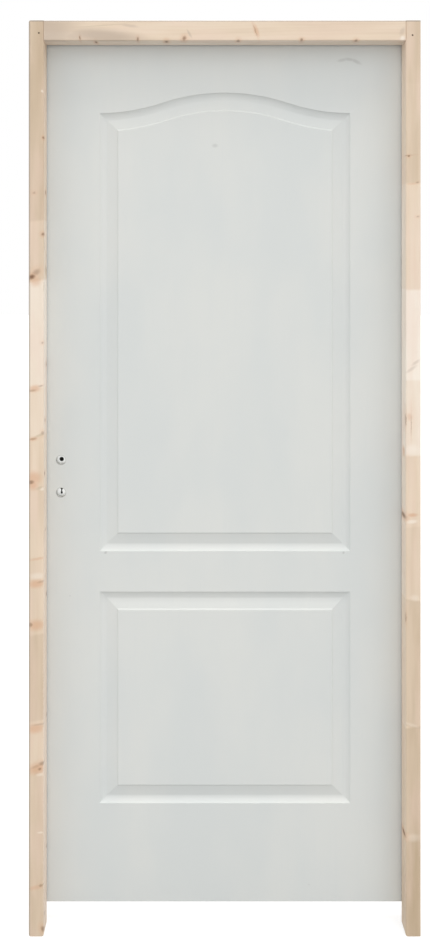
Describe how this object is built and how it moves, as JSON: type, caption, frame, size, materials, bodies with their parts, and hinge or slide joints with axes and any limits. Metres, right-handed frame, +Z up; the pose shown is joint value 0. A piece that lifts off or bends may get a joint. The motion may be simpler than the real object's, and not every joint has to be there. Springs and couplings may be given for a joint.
{
  "type": "prehung interior door",
  "caption": "Prehung interior door: a rebated softwood frame and a hinged white leaf with a moulded skin, an arched upper panel over a plain lower one, drilled for a lever lock.",
  "frame": {"origin": "at the foot of the hinge jamb, on its wall face and in the middle of the frame's depth", "axes": "+X out of the hinge jamb's wall face (to the right as seen from the push side), +Y through the wall towards the side the leaf opens to, +Z up"},
  "size_m": [0.91, 0.1055, 2.125],
  "materials": {
    "frame_timber": "bare planed softwood with small knots and finger joints",
    "primed_skin": "white factory primer on a smooth pressed fibreboard skin",
    "leaf_timber": "bare softwood rails and stiles inside the leaf",
    "honeycomb": "brown paper honeycomb",
    "lock_steel": "zinc-plated pressed steel",
    "plated_steel": "bright zinc-plated steel",
    "hinge_steel": "zinc-plated steel",
    "hinge_pin": "bright steel pin with a plain ring"
  },
  "bodies": {
    "frame": {"lock_jamb": "frame_timber", "hinge_jamb": "frame_timber", "head": "frame_timber", "strike_plate": "plated_steel", "hinge_1_frame": "hinge_steel", "hinge_1_pin": "hinge_pin", "hinge_2_frame": "hinge_steel", "hinge_2_pin": "hinge_pin", "hinge_3_frame": "hinge_steel", "hinge_3_pin": "hinge_pin"},
    "leaf": {"front_skin": "primed_skin", "back_skin": "primed_skin", "lock_stile": "leaf_timber", "hinge_stile": "leaf_timber", "top_rail": "leaf_timber", "bottom_rail": "leaf_timber", "lock_block": "leaf_timber", "core": "honeycomb", "lock_case": "lock_steel", "follower": "lock_steel", "faceplate": "plated_steel", "latch_bolt": "plated_steel", "dead_bolt": "plated_steel", "hinge_1_leaf": "hinge_steel", "hinge_2_leaf": "hinge_steel", "hinge_3_leaf": "hinge_steel"}
  },
  "joints": [
    {"name": "leaf_swing", "type": "hinge", "parent": "frame", "child": "leaf", "pos_m": [-0.0225, 0.054, 1], "axis": [0, 0, -1], "range_deg": [0, 175]}
  ]
}
